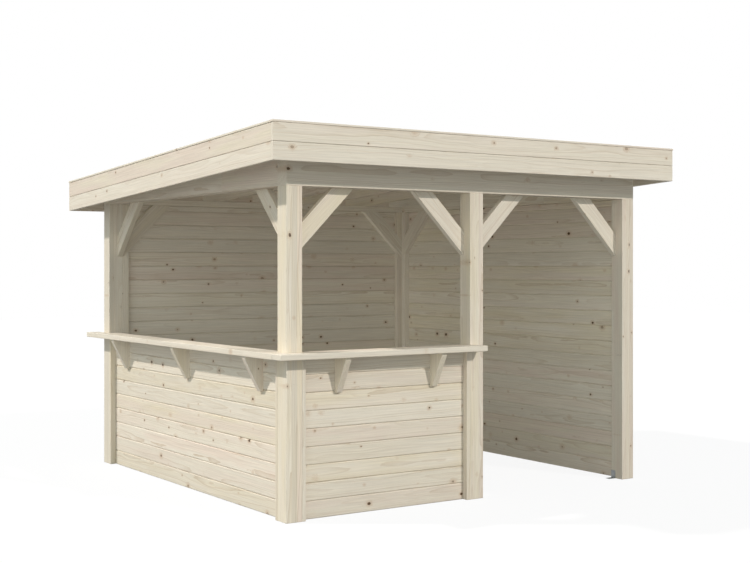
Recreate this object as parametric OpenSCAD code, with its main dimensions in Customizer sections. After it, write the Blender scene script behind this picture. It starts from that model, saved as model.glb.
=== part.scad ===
// Open-fronted timber gazebo with a mono-pitch roof, two full walls,
// two half walls and an L-shaped bar counter. Millimetres, +Z up,
// origin at the middle of the footprint of the roof, on the ground.

/* [Plan and height] */
// Width over the outer faces of the posts, left to right
plan_w = 3150; // [2800:10:3780]
// Depth over the outer faces of the posts, front to back
plan_d = 3150; // [2800:10:3780]
// Height of the posts, ground to underside of the beams
post_h = 2207; // [2050:1:2640]
// Side of a square post
post_s = 120; // [100:1:144]

/* [Walls] */
// Thickness of the wall boards
wall_t = 28; // [24:1:34]
// Depth of the board faces behind the posts' outer faces
wall_set = 46; // [36:1:50]
// Height of the half walls under the counter
half_h = 1072; // [900:1:1286]
// Width of the battens outside the boards, beside the posts
batten_out = 28; // [23:1:34]
// Width of the battens inside the room, beside the posts
batten_in = 56; // [46:1:67]

/* [Counter] */
// Thickness of the counter boards
counter_t = 40; // [33:1:48]
// Reach of the front counter in front of the posts
counter_front = 120; // [100:1:144]
// Reach of the left counter outside the posts
counter_side = 108; // [98:1:130]
// Reach of the left counter past the back post
counter_past = 124; // [103:1:149]
// Reach of the front counter past the middle post's left face
counter_lap = 70; // [58:1:84]
// Height of a counter bracket
bracket_h = 243; // [203:1:292]
// Reach of a counter bracket out from the boards
bracket_run = 140; // [117:1:144]
// Height of a counter bracket at its outer end
bracket_tip = 18; // [15:1:22]
// Depth of a counter bracket at its foot
bracket_toe = 22; // [18:1:26]
// Thickness of a counter bracket
bracket_t = 45; // [37:1:54]
// Distance of the outer brackets from the posts
bracket_inset = 300; // [250:5:360]

/* [Roof] */
// Fall of the roof towards the back, in thousandths
fall_permille = 53.2; // [44:0.1:58]
// Roof overhang at each side, to the fascia face
over_side = 218; // [180:1:262]
// Roof overhang at the front
over_front = 213; // [178:1:256]
// Roof overhang at the back
over_back = 247; // [205:1:296]
// Height of the front beam at its front face
beam_h = 213; // [200:1:256]
// Width of a rafter
rafter_w = 45; // [38:1:54]
// Depth of a rafter
rafter_h = 120; // [100:1:124]
// Thickness of the roof boards
deck_t = 20; // [16:1:24]
// Thickness of the fascia boards
fascia_t = 28; // [23:1:34]
// Height of the fascia, two boards
fascia_h = 241; // [233:1:289]
// Distance of the fascia's lower edge below the rafters
fascia_drop = 83; // [70:1:85]
// Thickness of the capping strip
trim_t = 14; // [11:1:17]
// Width of the capping strip
trim_w = 50; // [42:1:60]
// Projection of the capping strip past the fascia
trim_lip = 4; // [3:1:5]

/* [Braces] */
// Drop of a knee brace's lower edge below the beam
brace_drop = 448; // [373:1:485]
// Drop of a knee brace's upper edge below the beam
brace_top = 278; // [232:1:302]

/* [Anchors] */
// Length of each leg of a post anchor
anchor_leg = 62; // [52:1:74]
// Width of a post anchor
anchor_w = 44; // [37:1:46]
// Thickness of the anchor plate
anchor_t = 2.5; // [2:0.1:3]
// Radius of the bolt hole in the anchor
anchor_hole = 5.5; // [4.5:0.1:6.6]

/* [Hidden] */
$fn = 48;
// clearance where a sloped cut is seated
seat = 0.3;
fall = fall_permille / 1000;
// inner face of the boards, from the posts' outer faces
wall_in = wall_set + wall_t;
// braces fill from the boards to the posts' inner faces
brace_t = post_s - wall_in;
far_x = plan_w - post_s;
far_y = plan_d - post_s;
mid_x = (plan_w - post_s) / 2;
mid_r = mid_x + post_s;
// height of the rafters' undersides at the front posts' front faces
plane_z = post_h + beam_h;
shift_y = (plan_d + over_back - over_front) / 2;
fascia_z = plane_z - fascia_drop;
capping_z = fascia_z + fascia_h + seat;
rafter_count = 7;
rafter_step = (plan_w - rafter_w) / (rafter_count - 1);
// run of a cutter past the face it cuts
cut = 2;

wood = "#e2d6c0";
steel = "#8e9091";

// everything is drawn from the front left post's outer corner
module home() {
  translate([-plan_w / 2, -shift_y, 0]) children();
}

// upright box between two corners
module slab(lo, hi) {
  translate(lo) cube(hi - lo);
}

// bar whose underside and top follow the roof's fall
module sloped(x0, x1, y0, y1, base, h) {
  translate([x0, 0, 0]) rotate([90, 0, 90]) linear_extrude(x1 - x0)
    polygon([[y0, base - y0 * fall], [y1, base - y1 * fall],
      [y1, base - y1 * fall + h], [y0, base - y0 * fall + h]]);
}

// beam with a level underside and a top cut to the roof's fall
module beam(x0, x1, y0, y1) {
  translate([x0, 0, 0]) rotate([90, 0, 90]) linear_extrude(x1 - x0)
    polygon([[y0, post_h], [y1, post_h],
      [y1, plane_z - seat - y1 * fall], [y0, plane_z - seat - y0 * fall]]);
}

module post(x, y) {
  slab([x, y, 0], [x + post_s, y + post_s, post_h]);
}

// brace outline: run from the post's face, height from the ground
module brace_outline() {
  polygon([[0, post_h - brace_drop], [brace_drop, post_h],
    [brace_top, post_h], [0, post_h - brace_top]]);
}

// brace along the front or back, rising away from the post at x
module brace_x(x, y, dir) {
  translate([x, y + brace_t, 0]) scale([dir, 1, 1])
    rotate([90, 0, 0]) linear_extrude(brace_t) brace_outline();
}

// brace along a side, rising away from the post at y
module brace_y(x, y, dir) {
  translate([x, y, 0]) scale([1, dir, 1])
    rotate([90, 0, 90]) linear_extrude(brace_t) brace_outline();
}

// bracket outline: reach out from the boards, height from the ground
module bracket_outline() {
  polygon([[0, half_h - bracket_h], [0, half_h], [-bracket_run, half_h],
    [-bracket_run, half_h - bracket_tip], [-bracket_toe, half_h - bracket_h]]);
}

module bracket_front(x) {
  translate([x - bracket_t / 2, wall_set, 0])
    rotate([90, 0, 90]) linear_extrude(bracket_t) bracket_outline();
}

module bracket_left(y) {
  translate([wall_set, y + bracket_t / 2, 0])
    rotate([90, 0, 0]) linear_extrude(bracket_t) bracket_outline();
}

// angle plate with its upright leg on a face towards +X
module anchor() {
  difference() {
    union() {
      slab([0, -anchor_w / 2, 0], [anchor_leg, anchor_w / 2, anchor_t]);
      slab([0, -anchor_w / 2, 0], [anchor_t, anchor_w / 2, anchor_leg]);
    }
    translate([anchor_leg * 0.6, 0, -cut])
      cylinder(h = anchor_t + 2 * cut, r = anchor_hole);
  }
}

module anchor_at(x, y, turn) {
  translate([x, y, 0]) rotate([0, 0, turn]) anchor();
}

module post_front_left() {
  color(wood) home() post(0, 0);
}

module post_front_middle() {
  color(wood) home() post(mid_x, 0);
}

module post_front_right() {
  color(wood) home() post(far_x, 0);
}

module post_back_left() {
  color(wood) home() post(0, far_y);
}

module post_back_right() {
  color(wood) home() post(far_x, far_y);
}

module beam_front() {
  color(wood) home() beam(0, plan_w, 0, post_s);
}

module beam_back() {
  color(wood) home() beam(0, plan_w, far_y, plan_d);
}

module beam_left() {
  color(wood) home() beam(0, post_s, post_s, far_y);
}

module beam_right() {
  color(wood) home() beam(far_x, plan_w, post_s, far_y);
}

module rafters() {
  color(wood) home() for (i = [0 : rafter_count - 1])
    sloped(i * rafter_step, i * rafter_step + rafter_w,
      fascia_t - over_front, plan_d + over_back - fascia_t,
      plane_z, rafter_h);
}

module roof_deck() {
  color(wood) home()
    sloped(fascia_t - over_side, plan_w + over_side - fascia_t,
      fascia_t - over_front, plan_d + over_back - fascia_t,
      plane_z + rafter_h, deck_t);
}

module fascia_front() {
  color(wood) home() sloped(-over_side, plan_w + over_side,
    -over_front, fascia_t - over_front, fascia_z, fascia_h);
}

module fascia_back() {
  color(wood) home() sloped(-over_side, plan_w + over_side,
    plan_d + over_back - fascia_t, plan_d + over_back, fascia_z, fascia_h);
}

module fascia_left() {
  color(wood) home() sloped(-over_side, fascia_t - over_side,
    fascia_t - over_front, plan_d + over_back - fascia_t,
    fascia_z, fascia_h);
}

module fascia_right() {
  color(wood) home()
    sloped(plan_w + over_side - fascia_t, plan_w + over_side,
      fascia_t - over_front, plan_d + over_back - fascia_t,
      fascia_z, fascia_h);
}

module capping_front_back() {
  color(wood) home() {
    sloped(-over_side - trim_lip, plan_w + over_side + trim_lip,
      -over_front - trim_lip, trim_w - over_front - trim_lip,
      capping_z, trim_t);
    sloped(-over_side - trim_lip, plan_w + over_side + trim_lip,
      plan_d + over_back + trim_lip - trim_w, plan_d + over_back + trim_lip,
      capping_z, trim_t);
  }
}

module capping_sides() {
  color(wood) home() {
    sloped(-over_side - trim_lip, trim_w - over_side - trim_lip,
      trim_w - over_front - trim_lip, plan_d + over_back + trim_lip - trim_w,
      capping_z, trim_t);
    sloped(plan_w + over_side + trim_lip - trim_w,
      plan_w + over_side + trim_lip,
      trim_w - over_front - trim_lip, plan_d + over_back + trim_lip - trim_w,
      capping_z, trim_t);
  }
}

module wall_back() {
  color(wood) home() slab([post_s, plan_d - wall_in, 0],
    [far_x, plan_d - wall_set, post_h]);
}

module wall_right() {
  color(wood) home() slab([plan_w - wall_in, post_s, 0],
    [plan_w - wall_set, far_y, post_h]);
}

module half_wall_front() {
  color(wood) home() slab([post_s, wall_set, 0], [mid_x, wall_in, half_h]);
}

module half_wall_left() {
  color(wood) home() slab([wall_set, post_s, 0], [wall_in, far_y, half_h]);
}

// outside and inside battens of the back wall, cut round the braces
module battens_back() {
  color(wood) home() {
    slab([post_s, plan_d - wall_set, 0],
      [post_s + batten_out, plan_d, post_h]);
    slab([far_x - batten_out, plan_d - wall_set, 0],
      [far_x, plan_d, post_h]);
    difference() {
      slab([post_s, far_y, 0],
        [post_s + batten_in, plan_d - wall_in, post_h]);
      brace_x(post_s, far_y, 1);
    }
    difference() {
      slab([far_x - batten_in, far_y, 0],
        [far_x, plan_d - wall_in, post_h]);
      brace_x(far_x, far_y, -1);
    }
  }
}

// the inside batten stands at the back post only
module battens_right() {
  color(wood) home() {
    slab([plan_w - wall_set, post_s, 0],
      [plan_w, post_s + batten_out, post_h]);
    slab([plan_w - wall_set, far_y - batten_out, 0],
      [plan_w, far_y, post_h]);
    difference() {
      slab([far_x, far_y - batten_in, 0],
        [plan_w - wall_in, far_y, post_h]);
      brace_y(far_x, far_y, -1);
    }
  }
}

module battens_front() {
  color(wood) home() {
    slab([post_s, 0, 0], [post_s + batten_out, wall_set, half_h]);
    slab([mid_x - batten_out, 0, 0], [mid_x, wall_set, half_h]);
  }
}

module battens_left() {
  color(wood) home() {
    slab([0, post_s, 0], [wall_set, post_s + batten_out, half_h]);
    slab([0, far_y - batten_out, 0], [wall_set, far_y, half_h]);
  }
}

// runs past the corner post and covers the half wall between the posts
module counter_front_board() {
  color(wood) home() {
    slab([-counter_side, -counter_front, half_h],
      [mid_x + counter_lap, 0, half_h + counter_t]);
    slab([post_s, 0, half_h], [mid_x, wall_in, half_h + counter_t]);
  }
}

module counter_left_board() {
  color(wood) home() {
    slab([-counter_side, 0, half_h],
      [0, plan_d + counter_past, half_h + counter_t]);
    slab([0, post_s, half_h], [wall_in, far_y, half_h + counter_t]);
  }
}

module counter_brackets_front() {
  color(wood) home() {
    bracket_front(post_s + bracket_inset);
    bracket_front(mid_x - bracket_inset);
  }
}

module counter_brackets_left() {
  color(wood) home() {
    bracket_left(post_s + bracket_inset);
    bracket_left(plan_d / 2);
    bracket_left(far_y - bracket_inset);
  }
}

module brace_front_left_post() {
  color(wood) home() brace_x(post_s, wall_in, 1);
}

module brace_middle_post_left() {
  color(wood) home() brace_x(mid_x, wall_in, -1);
}

module brace_middle_post_right() {
  color(wood) home() brace_x(mid_r, wall_in, 1);
}

module brace_front_right_post() {
  color(wood) home() brace_x(far_x, wall_in, -1);
}

module brace_left_front() {
  color(wood) home() brace_y(wall_in, post_s, 1);
}

module brace_left_back() {
  color(wood) home() brace_y(wall_in, far_y, -1);
}

module brace_back_left() {
  color(wood) home() brace_x(post_s, far_y, 1);
}

module brace_back_right() {
  color(wood) home() brace_x(far_x, far_y, -1);
}

module brace_right_back() {
  color(wood) home() brace_y(far_x, far_y, -1);
}

// angle plates on the inner faces of the posts that have one free
module post_anchors() {
  color(steel) home() {
    anchor_at(far_x, post_s - anchor_w / 2, 180);
    anchor_at(mid_x + post_s / 2, post_s, 90);
    anchor_at(post_s, post_s - anchor_w / 2, 0);
    anchor_at(post_s - anchor_w / 2, far_y, -90);
  }
}

post_front_left();
post_front_middle();
post_front_right();
post_back_left();
post_back_right();
beam_front();
beam_back();
beam_left();
beam_right();
rafters();
roof_deck();
fascia_front();
fascia_back();
fascia_left();
fascia_right();
capping_front_back();
capping_sides();
wall_back();
wall_right();
half_wall_front();
half_wall_left();
battens_back();
battens_right();
battens_front();
battens_left();
counter_front_board();
counter_left_board();
counter_brackets_front();
counter_brackets_left();
brace_front_left_post();
brace_middle_post_left();
brace_middle_post_right();
brace_front_right_post();
brace_left_front();
brace_left_back();
brace_back_left();
brace_back_right();
brace_right_back();
post_anchors();
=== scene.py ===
"""Timber gazebo: its boards, posts, roof and finishes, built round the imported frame.

Every timber is a closed surface worked out from two parameters: a station
along the timber and a point round its section.  Each vertex also carries its
place in the timber (along, across, through) and the timber's own seed, so
the spruce grain follows every piece whichever way it lies.
"""

import logging
import math
from dataclasses import dataclass, field
from enum import Enum
from typing import Iterable, Optional, Sequence

import bpy
import numpy as np
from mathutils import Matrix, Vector


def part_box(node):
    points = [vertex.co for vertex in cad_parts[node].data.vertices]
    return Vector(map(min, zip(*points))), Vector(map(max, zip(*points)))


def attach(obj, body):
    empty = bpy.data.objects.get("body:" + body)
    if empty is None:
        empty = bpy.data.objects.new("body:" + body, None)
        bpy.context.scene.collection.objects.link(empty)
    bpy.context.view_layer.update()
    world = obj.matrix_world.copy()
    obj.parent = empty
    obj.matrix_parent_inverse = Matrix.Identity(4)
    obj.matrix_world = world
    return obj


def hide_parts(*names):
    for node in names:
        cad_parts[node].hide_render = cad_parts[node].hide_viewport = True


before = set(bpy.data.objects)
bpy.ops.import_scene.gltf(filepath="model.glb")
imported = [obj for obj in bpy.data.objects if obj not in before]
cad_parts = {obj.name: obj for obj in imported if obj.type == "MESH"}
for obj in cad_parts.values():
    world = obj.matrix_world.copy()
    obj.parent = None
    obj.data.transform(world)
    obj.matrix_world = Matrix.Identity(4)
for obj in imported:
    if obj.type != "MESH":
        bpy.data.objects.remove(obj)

LOG = logging.getLogger("gazebo")
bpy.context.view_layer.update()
ROOT = "root"
SEED = 20260
PLACE = "timber_place"
TIMBER_SEED = "timber_seed"

Triple = tuple[float, float, float]
Pair = tuple[float, float]

X_AXIS: Triple = (1.0, 0.0, 0.0)
Y_AXIS: Triple = (0.0, 1.0, 0.0)
Z_AXIS: Triple = (0.0, 0.0, 1.0)
# a timber on edge: its grain runs along it, and its knots look out sideways
SIDE_GRAIN = (0, 2, 1)


class Slot(str, Enum):
    """The record's material slots."""

    TIMBER = "timber"
    GALVANISED = "galvanised"


@dataclass(frozen=True)
class Box:
    """The lowest and highest corner of a CAD node, in metres."""

    lo: Triple
    hi: Triple

    @staticmethod
    def of(node: str) -> "Box":
        """Reads the box of one CAD node."""
        low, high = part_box(node)
        return Box(tuple(low), tuple(high))

    def size(self, axis: int) -> float:
        """The box's length along one axis."""
        return self.hi[axis] - self.lo[axis]

    def middle(self, axis: int) -> float:
        """The box's middle along one axis."""
        return 0.5 * (self.hi[axis] + self.lo[axis])


# ---------------------------------------------------------------- surfaces


def rounded(points: Sequence[Pair], radius: float, steps: int = 3) -> np.ndarray:
    """Rounds the corners of a closed outline.

    Each corner becomes a quadratic curve between the points that lie the
    radius before and after it: (1-s)^2 a + 2 s (1-s) corner + s^2 b.

    Args:
        points: the outline's corners, counter-clockwise.
        radius: the distance from a corner at which its rounding starts.
        steps: the number of points on each rounding.

    Returns:
        An array of outline points, one row each.
    """
    corner = np.asarray(points, float)
    before = np.roll(corner, 1, axis=0) - corner
    after = np.roll(corner, -1, axis=0) - corner
    reach_before = np.linalg.norm(before, axis=1, keepdims=True)
    reach_after = np.linalg.norm(after, axis=1, keepdims=True)
    cut_before = np.minimum(radius, 0.4 * reach_before)
    cut_after = np.minimum(radius, 0.4 * reach_after)
    start = corner + before / reach_before * cut_before
    end = corner + after / reach_after * cut_after
    s = np.linspace(0.0, 1.0, steps)[None, :, None]
    curve = ((1 - s) ** 2 * start[:, None, :] + 2 * s * (1 - s) * corner[:, None, :]
             + s ** 2 * end[:, None, :])
    return curve.reshape(-1, 2)


def rectangle(width: float, thickness: float, radius: float) -> np.ndarray:
    """A rectangular section from (0, 0) to (width, thickness) with eased arrises."""
    return rounded([(0, 0), (width, 0), (width, thickness), (0, thickness)], radius)


@dataclass(frozen=True)
class Bar:
    """One straight timber.

    A point of it is base + l * along + w * across + t * through, where l
    runs from 0 to the length and (w, t) runs round the section.

    Attributes:
        base: the corner where l, w and t are all 0.
        length: the length in units of the along vector.
        section: the outline in (w, t), counter-clockwise.
        along: the direction of l.
        across: the direction of w.
        through: the direction of t.
        start_slant: how far l starts later for each metre of w and of t.
        end_slant: how far l ends later for each metre of w and of t.
        end_height: the share of t that is left at the far end.
        grain_turn: which of l, w and t the grain's own three axes follow.
        arris: the easing at the two ends.
    """

    base: Triple
    length: float
    section: np.ndarray
    along: Triple
    across: Triple
    through: Triple
    start_slant: Pair = (0.0, 0.0)
    end_slant: Pair = (0.0, 0.0)
    end_height: float = 1.0
    grain_turn: tuple[int, int, int] = (0, 1, 2)
    arris: float = 0.0012

    def surface(self) -> tuple[np.ndarray, np.ndarray]:
        """Works out the rings of the timber's surface.

        Two rings at each end ease the arris: the outer ring is the section
        drawn in by the arris, the next is the full section one arris on.

        Returns:
            The points and their places in the timber, as arrays of
            ring by outline point by three.
        """
        a = self.arris
        station = np.array([0.0, a, self.length - a, self.length])
        inset = np.array([1.0, 0.0, 0.0, 1.0])
        low, high = self.section.min(0), self.section.max(0)
        middle, half = 0.5 * (low + high), 0.5 * (high - low)
        shrink = 1.0 - inset[:, None, None] * np.minimum(a / half, 0.4)[None, None, :]
        ring = middle + (self.section[None, :, :] - middle) * shrink
        share = (station / self.length)[:, None]
        w, t = ring[..., 0], ring[..., 1] * (1 + (self.end_height - 1) * share)
        l = (station[:, None]
             + (1 - share) * (w * self.start_slant[0] + t * self.start_slant[1])
             + share * (w * self.end_slant[0] + t * self.end_slant[1]))
        point = (np.asarray(self.base)[None, None, :]
                 + l[..., None] * np.asarray(self.along)
                 + w[..., None] * np.asarray(self.across)
                 + t[..., None] * np.asarray(self.through))
        place = np.stack([l - 0.5 * self.length, w - middle[0], t - middle[1]], axis=-1)
        return point, place[..., list(self.grain_turn)]

    def inside_out(self) -> bool:
        """Whether the three directions are left-handed, which turns faces inwards."""
        return float(np.dot(np.cross(self.across, self.through), self.along)) < 0


@dataclass
class Joinery:
    """Gathers bars and other closed surfaces into one piece of the gazebo.

    Attributes:
        name: the finished piece's name.
        nodes: the CAD nodes that it stands for.
        material: its finish.
        slot: the record's material slot; not used.
    """

    name: str
    nodes: tuple[str, ...]
    material: bpy.types.Material
    slot: Slot = Slot.TIMBER
    points: list[np.ndarray] = field(default_factory=list)
    places: list[np.ndarray] = field(default_factory=list)
    seeds: list[np.ndarray] = field(default_factory=list)
    corners: list[np.ndarray] = field(default_factory=list)
    counts: list[np.ndarray] = field(default_factory=list)
    rng: np.random.Generator = field(default_factory=lambda: RANDOM)
    total: int = 0

    def rings(self, point: np.ndarray, place: np.ndarray, turn: bool,
              seed: Optional[float] = None) -> None:
        """Adds a tube of closed rings with a face across each end.

        Ring i, point j joins i+1, j+1 in quadrilaterals over the whole grid.

        Args:
            point: ring by outline point by three coordinates.
            place: the same points' places in their timber.
            turn: whether the faces are to be turned round.
            seed: the timber's seed, or None to draw one.
        """
        m, n, _ = point.shape
        index = np.arange(m * n).reshape(m, n) + self.total
        right = np.roll(index, -1, axis=1)
        quad = np.stack([index[:-1], right[:-1], right[1:], index[1:]], axis=-1)
        quad = quad.reshape(-1, 4)
        start, end = index[0][::-1], index[-1]
        if turn:
            quad, start, end = quad[:, ::-1], start[::-1], end[::-1]
        self.corners += [quad.ravel(), start, end]
        self.counts += [np.full(len(quad), 4), np.array([n, n])]
        value = float(self.rng.random()) if seed is None else seed
        self.points.append(point.reshape(-1, 3))
        self.places.append(place.reshape(-1, 3))
        self.seeds.append(np.full(m * n, value))
        self.total += m * n

    def bar(self, bar: Bar, seed: Optional[float] = None) -> None:
        """Adds one timber."""
        point, place = bar.surface()
        self.rings(point, place, bar.inside_out(), seed)

    def bars(self, bars: Iterable[Bar]) -> "Joinery":
        """Adds several timbers and returns the piece."""
        for bar in bars:
            self.bar(bar)
        return self

    def build(self) -> bpy.types.Object:
        """Makes the mesh, puts it on the frame and reports it.

        Returns:
            The finished object.
        """
        mesh = bpy.data.meshes.new(self.name)
        point = np.concatenate(self.points)
        corner = np.concatenate(self.corners)
        count = np.concatenate(self.counts)
        mesh.vertices.add(len(point))
        mesh.vertices.foreach_set("co", point.astype(np.float32).ravel())
        mesh.loops.add(len(corner))
        mesh.loops.foreach_set("vertex_index", corner.astype(np.int32))
        mesh.polygons.add(len(count))
        first = np.concatenate([[0], np.cumsum(count)[:-1]])
        mesh.polygons.foreach_set("loop_start", first.astype(np.int32))
        mesh.polygons.foreach_set("use_smooth", np.zeros(len(count), bool))
        mesh.update(calc_edges=True)
        place = mesh.attributes.new(PLACE, "FLOAT_VECTOR", "POINT")
        place.data.foreach_set("vector", np.concatenate(self.places).astype(np.float32).ravel())
        seed = mesh.attributes.new(TIMBER_SEED, "FLOAT", "POINT")
        seed.data.foreach_set("value", np.concatenate(self.seeds).astype(np.float32))
        mesh.validate()
        mesh.materials.append(self.material)
        piece = bpy.data.objects.new(self.name, mesh)
        bpy.context.scene.collection.objects.link(piece)
        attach(piece, ROOT)
        if self.nodes:
            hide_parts(*self.nodes)
        LOG.info("%s: %d faces for %s", self.name, len(count), ", ".join(self.nodes))
        return piece


RANDOM = np.random.default_rng(SEED)


# ---------------------------------------------------------------- shader groups


class Sheet:
    """A node tree with short calls for the nodes that the finishes use."""

    def __init__(self, tree: bpy.types.NodeTree) -> None:
        """Takes the tree that the nodes go into."""
        self.tree = tree

    def node(self, kind: str, **settings: object) -> bpy.types.Node:
        """Adds a node and sets its own properties."""
        made = self.tree.nodes.new(kind)
        for key, value in settings.items():
            setattr(made, key, value)
        return made

    def wire(self, source: object, target: bpy.types.NodeSocket) -> None:
        """Joins a socket, or gives a plain value, to an input."""
        if isinstance(source, bpy.types.NodeSocket):
            self.tree.links.new(source, target)
        else:
            target.default_value = source

    def math(self, operation: str, a: object, b: object = 0.0, c: object = 0.0,
             clamp: bool = False) -> bpy.types.NodeSocket:
        """One step of arithmetic on values."""
        made = self.node("ShaderNodeMath", operation=operation, use_clamp=clamp)
        for value, target in zip((a, b, c), made.inputs):
            self.wire(value, target)
        return made.outputs[0]

    def vector(self, operation: str, a: object, b: object = (0.0, 0.0, 0.0)) -> bpy.types.Node:
        """One step of arithmetic on vectors; the node is returned."""
        made = self.node("ShaderNodeVectorMath", operation=operation)
        self.wire(a, made.inputs[0])
        self.wire(b, made.inputs[1])
        return made

    def times(self, a: object, b: object) -> bpy.types.NodeSocket:
        """A vector stretched along its axes."""
        return self.vector("MULTIPLY", a, b).outputs[0]

    def plus(self, a: object, b: object) -> bpy.types.NodeSocket:
        """The sum of two vectors."""
        return self.vector("ADD", a, b).outputs[0]

    def split(self, a: object) -> tuple[bpy.types.NodeSocket, ...]:
        """The three parts of a vector."""
        made = self.node("ShaderNodeSeparateXYZ")
        self.wire(a, made.inputs[0])
        return tuple(made.outputs)

    def join(self, x: object, y: object, z: object) -> bpy.types.NodeSocket:
        """A vector of three values."""
        made = self.node("ShaderNodeCombineXYZ")
        for value, target in zip((x, y, z), made.inputs):
            self.wire(value, target)
        return made.outputs[0]

    def noise(self, at: object, detail: float = 2.0,
              rough: float = 0.5) -> bpy.types.NodeSocket:
        """Smooth noise, 0 to 1, at a place that is already scaled."""
        made = self.node("ShaderNodeTexNoise")
        made.inputs["Scale"].default_value = 1.0
        made.inputs["Detail"].default_value = detail
        made.inputs["Roughness"].default_value = rough
        self.wire(at, made.inputs["Vector"])
        return made.outputs["Fac"]

    def chance(self, at: object) -> bpy.types.Node:
        """A fresh random value and colour for each place."""
        made = self.node("ShaderNodeTexWhiteNoise", noise_dimensions="3D")
        self.wire(at, made.inputs["Vector"])
        return made

    def ramp(self, value: object, low: object, high: object, out_low: object = 0.0,
             out_high: object = 1.0, smooth: bool = True) -> bpy.types.NodeSocket:
        """Carries a value from one range to another, clamped."""
        made = self.node("ShaderNodeMapRange",
                         interpolation_type="SMOOTHSTEP" if smooth else "LINEAR")
        for item, target in zip((value, low, high, out_low, out_high), made.inputs):
            self.wire(item, target)
        return made.outputs[0]

    def mix(self, factor: object, a: object, b: object,
            blend: str = "MIX") -> bpy.types.NodeSocket:
        """Two colours mixed."""
        made = self.node("ShaderNodeMix", data_type="RGBA", blend_type=blend)
        self.wire(factor, made.inputs[0])
        self.wire(a, made.inputs[6])
        self.wire(b, made.inputs[7])
        return made.outputs[2]


def new_material(name: str) -> tuple[bpy.types.Material, Sheet]:
    """Starts a node-based material with an empty sheet."""
    material = bpy.data.materials.new(name)
    material.use_nodes = True
    material.node_tree.nodes.clear()
    return material, Sheet(material.node_tree)


def close_material(s: Sheet, surface: bpy.types.NodeSocket) -> None:
    """Joins a material's surface to its output."""
    end = s.node("ShaderNodeOutputMaterial")
    s.wire(surface, end.inputs["Surface"])


def bumped(s: Sheet, shader: bpy.types.Node, height: object, strength: float,
           distance: float) -> None:
    """Gives a shader a relief from a height."""
    bump = s.node("ShaderNodeBump")
    bump.inputs["Strength"].default_value = strength
    bump.inputs["Distance"].default_value = distance
    s.wire(height, bump.inputs["Height"])
    s.wire(bump.outputs[0], shader.inputs["Normal"])


class Kind(Enum):
    """The kinds of sockets that a group has."""

    VALUE = "NodeSocketFloat"
    VECTOR = "NodeSocketVector"
    COLOUR = "NodeSocketColor"


def new_group(name: str, takes: dict[str, Kind], gives: dict[str, Kind]
              ) -> tuple[bpy.types.NodeTree, Sheet, dict[str, bpy.types.NodeSocket],
                         bpy.types.Node]:
    """Starts a shader node group.

    Args:
        name: the group's name.
        takes: the input sockets.
        gives: the output sockets.

    Returns:
        The tree, its sheet, the input sockets by name and the output node.
    """
    tree = bpy.data.node_groups.new(name, "ShaderNodeTree")
    for label, kind in takes.items():
        tree.interface.new_socket(label, in_out="INPUT", socket_type=kind.value)
    for label, kind in gives.items():
        tree.interface.new_socket(label, in_out="OUTPUT", socket_type=kind.value)
    sheet = Sheet(tree)
    entry = sheet.node("NodeGroupInput")
    leave = sheet.node("NodeGroupOutput")
    return tree, sheet, {s.name: s for s in entry.outputs if s.name}, leave


def knot_group() -> bpy.types.NodeTree:
    """Round knots scattered over the timber.

    The timber is divided into long cells with one point in each.  The
    distance to the point is taken in metres, so that the knots stay round,
    and the cell's own chance sets the knot's radius, or leaves it out.

    Returns:
        A group giving the knot's core, its bark ring, its pale brown halo
        and the bend that it puts into the grain.
    """
    tree, s, i, out = new_group(
        "spruce_knots",
        {"Place": Kind.VECTOR, "Along": Kind.VALUE, "Across": Kind.VALUE,
         "Radius": Kind.VALUE, "Share": Kind.VALUE},
        {"Core": Kind.VALUE, "Bark": Kind.VALUE, "Halo": Kind.VALUE, "Bend": Kind.VALUE,
         "Dark": Kind.VALUE})
    through = 0.35
    cell = s.join(i["Along"], i["Across"], through)
    scaled = s.vector("DIVIDE", i["Place"], cell).outputs[0]
    spots = s.node("ShaderNodeTexVoronoi", voronoi_dimensions="3D", feature="F1")
    spots.inputs["Scale"].default_value = 1.0
    s.wire(scaled, spots.inputs["Vector"])
    away = s.vector("SUBTRACT", spots.outputs["Position"], scaled).outputs[0]
    metric = s.times(away, cell)
    wobble = s.noise(s.times(i["Place"], (90.0, 90.0, 30.0)), 1.0)
    flat = s.times(metric, (0.85, 1.1, 0.12))
    length = s.vector("LENGTH", flat).outputs["Value"]
    distance = s.math("MULTIPLY", length, s.ramp(wobble, 0.2, 0.8, 0.8, 1.2, False))
    lot = s.split(spots.outputs["Color"])
    gate = s.math("LESS_THAN", lot[0], i["Share"])
    spread = s.ramp(s.math("POWER", lot[1], 2.2), 0.0, 1.0, 0.34, 1.0, False)
    radius = s.math("MULTIPLY", s.math("MULTIPLY", i["Radius"], spread), gate)
    core = s.ramp(distance, s.math("MULTIPLY", radius, 1.05),
                  s.math("MULTIPLY", radius, 0.75))
    inner = s.ramp(distance, s.math("MULTIPLY", radius, 0.9),
                   s.math("MULTIPLY", radius, 0.45))
    halo = s.ramp(distance, s.math("MULTIPLY", radius, 3.2),
                  s.math("MULTIPLY", radius, 0.8))
    s.wire(s.math("MULTIPLY", core, gate), out.inputs["Core"])
    bark = s.math("SUBTRACT", core, inner, clamp=True)
    s.wire(s.math("MULTIPLY", bark, gate), out.inputs["Bark"])
    s.wire(s.math("MULTIPLY", halo, gate), out.inputs["Halo"])
    s.wire(s.math("MULTIPLY", s.math("MULTIPLY", halo, gate), radius), out.inputs["Bend"])
    s.wire(lot[2], out.inputs["Dark"])
    return tree


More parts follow.
